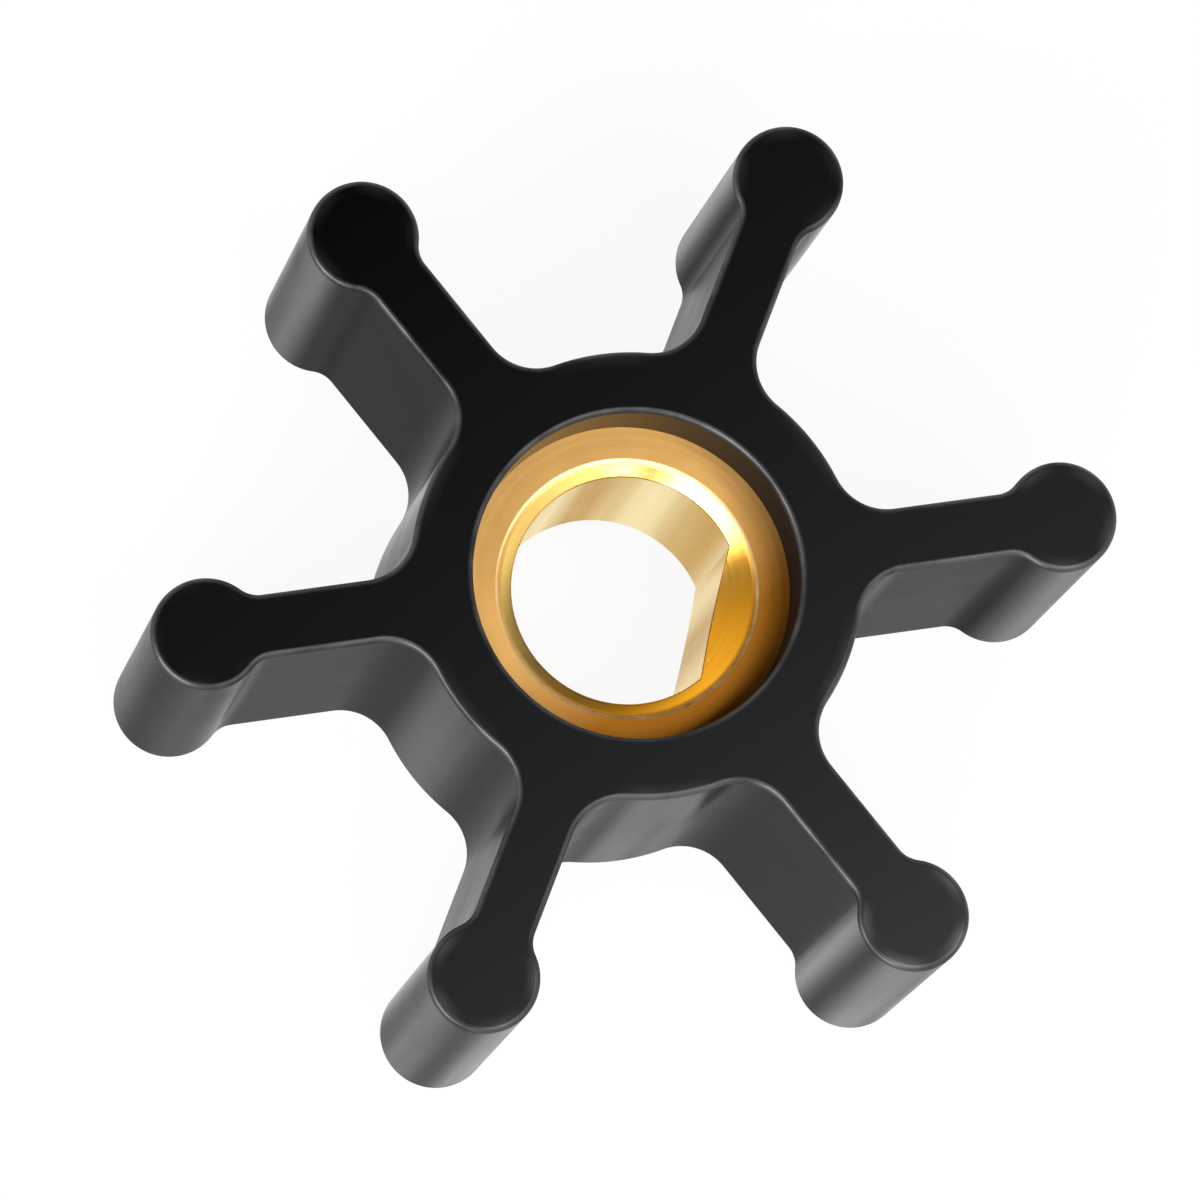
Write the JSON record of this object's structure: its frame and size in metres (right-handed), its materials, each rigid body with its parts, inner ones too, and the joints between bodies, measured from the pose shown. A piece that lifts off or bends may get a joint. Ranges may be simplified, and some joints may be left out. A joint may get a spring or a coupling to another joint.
{
  "type": "rubber pump impeller",
  "caption": "Flexible rubber impeller for a raw-water pump: straight vanes with round bulb tips on a round hub, moulded around a sunk brass bush with a D-shaped bore.",
  "frame": {"origin": "on the axis of the bore, at the lower end face of the rubber, on which the impeller rests", "axes": "+Z along the bore's axis, from the lower end face to the upper one; +X along the middle of a vane"},
  "size_m": [0.034, 0.03, 0.0136],
  "materials": {
    "rubber": "smooth moulded, slight sheen",
    "brass": "machined"
  },
  "bodies": {
    "root": {"vane_wheel": "rubber", "drive_bush": "brass"}
  },
  "joints": []
}
